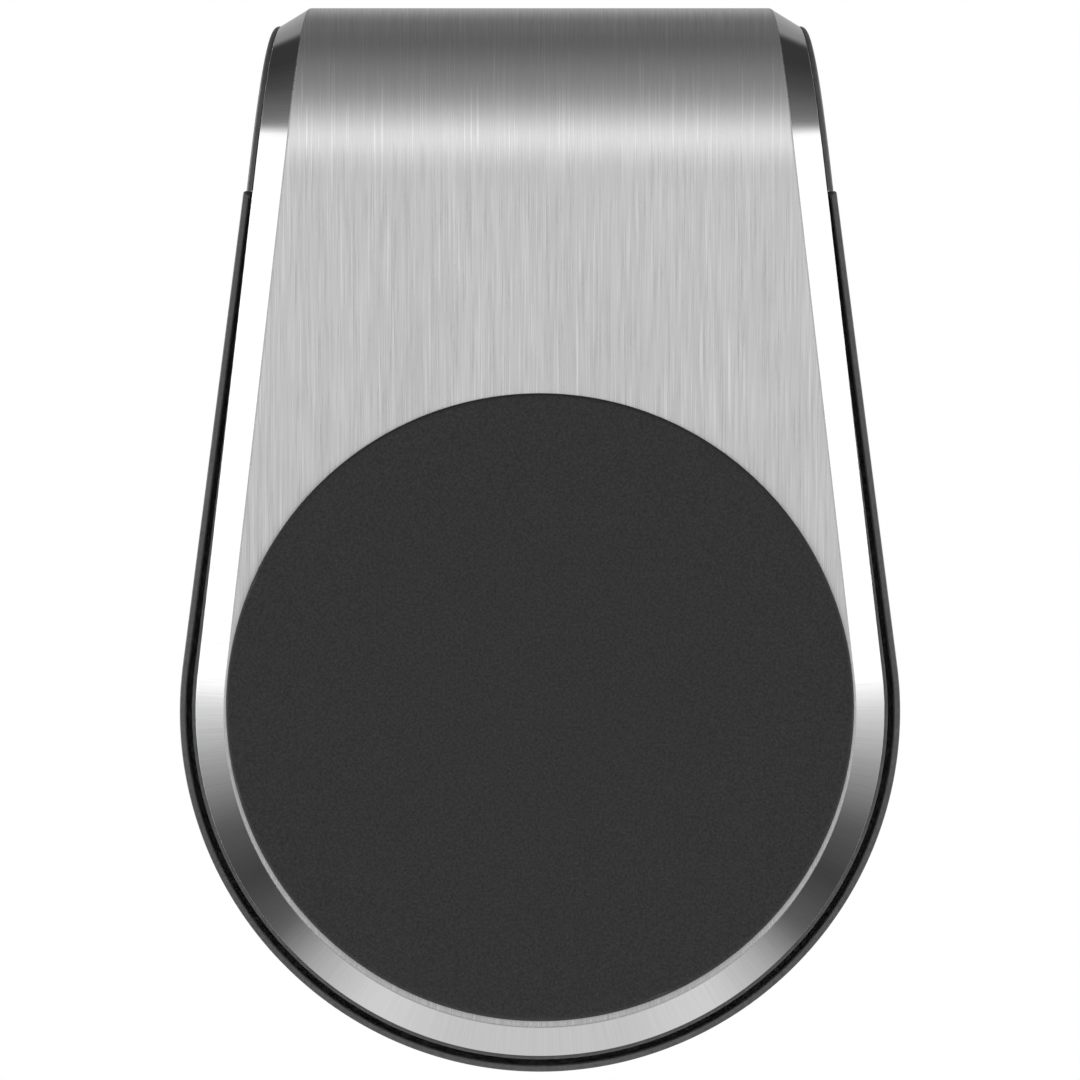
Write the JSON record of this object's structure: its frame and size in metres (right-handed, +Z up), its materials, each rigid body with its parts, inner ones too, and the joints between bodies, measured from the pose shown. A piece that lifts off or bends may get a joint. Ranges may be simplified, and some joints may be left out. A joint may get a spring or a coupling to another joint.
{
  "type": "magnetic car vent phone mount",
  "caption": "Magnetic phone mount: a bent, brushed metal teardrop plate with a round magnetic pad, a leather-covered back and a sprung rubber-lined clip for an air vent blade.",
  "frame": {"origin": "middle of the vent slot: halfway along the ribbed pads, halfway between their ribs, on the middle plane", "axes": "+Z up along the plate, +Y back into the vent, +X to the right seen from the front; the pad faces -Y"},
  "size_m": [0.0402, 0.0258, 0.0594],
  "materials": {
    "brushed_metal": "vertical brushed grain with a polished bevel",
    "soft_pad": "matte, very fine grain",
    "adhesive": "thin film",
    "carrier_plastic": "moulded, natural white",
    "magnet_nickel": "nickel plated",
    "plated_steel": "zinc plated",
    "black_steel": "black, satin",
    "spring_steel": "drawn wire, bright",
    "black_plastic": "fine moulded texture",
    "black_rubber": "matte",
    "black_leather": "grained, stitched border"
  },
  "bodies": {
    "mount_body": {"metal_body": "brushed_metal", "phone_pad": "soft_pad", "pad_adhesive": "adhesive", "magnet_carrier": "carrier_plastic", "magnet_1": "magnet_nickel", "magnet_2": "magnet_nickel", "magnet_3": "magnet_nickel", "magnet_4": "magnet_nickel", "magnet_5": "magnet_nickel", "magnet_6": "magnet_nickel", "yoke_plate": "plated_steel", "frame_tape": "adhesive", "rear_frame": "black_plastic", "leather_back": "black_leather", "jaw_liner": "black_rubber", "hinge_bracket": "black_steel", "standoff_left": "plated_steel", "standoff_right": "plated_steel", "bracket_screw_left": "plated_steel", "bracket_screw_right": "plated_steel", "hinge_pin": "plated_steel", "pin_ring": "black_steel", "torsion_spring": "spring_steel"},
    "clip_jaw": {"clip_lever": "black_plastic", "lower_jaw_pad": "black_rubber", "thumb_grip": "black_rubber"}
  },
  "joints": [
    {"name": "jaw_hinge", "type": "hinge", "parent": "mount_body", "child": "clip_jaw", "pos_m": [0, -0.0085, -0.00748], "axis": [-1, 0, 0], "range_deg": [0, 26], "stiffness_Nm_per_rad": 0.086, "springref_deg": -40.11, "deforming": ["torsion_spring"]}
  ]
}
